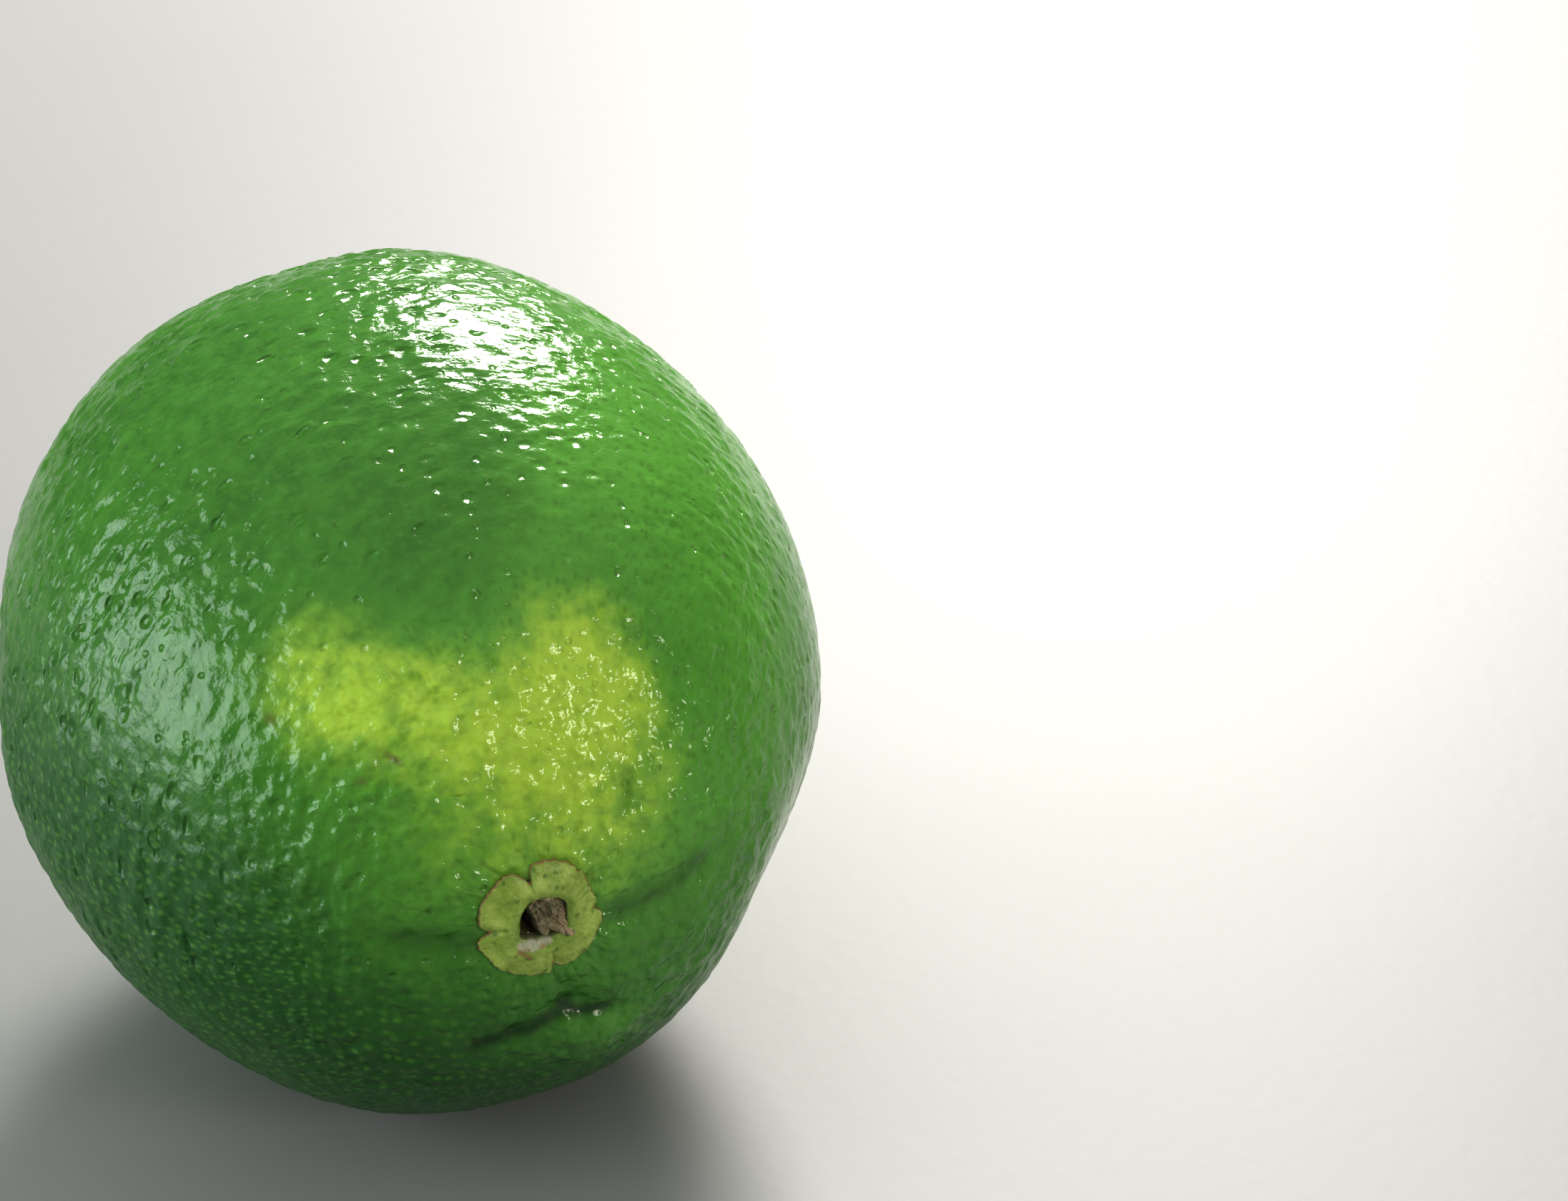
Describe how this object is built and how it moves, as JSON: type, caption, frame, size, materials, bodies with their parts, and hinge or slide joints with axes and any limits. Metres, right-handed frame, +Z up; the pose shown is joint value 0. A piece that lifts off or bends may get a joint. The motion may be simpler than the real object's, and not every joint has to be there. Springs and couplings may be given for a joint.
{
  "type": "lime",
  "caption": "Whole lime with a pitted green rind, a lobed calyx button and a broken stem end, lying on its side on a small flat spot",
  "frame": {"origin": "on the surface that the lime rests on, under the middle of its bounding box", "axes": "+Z up; the lime's long axis lies along Y, with the tip at +Y and the stem end, calyx and stem stub at -Y; X runs across it"},
  "size_m": [0.0532, 0.0656, 0.0525],
  "materials": {
    "rind": "satin",
    "sepal": "matte",
    "dry_stem": "matte"
  },
  "bodies": {
    "root": {"fruit": "rind", "calyx": "sepal", "stem_stub": "dry_stem"}
  },
  "joints": []
}
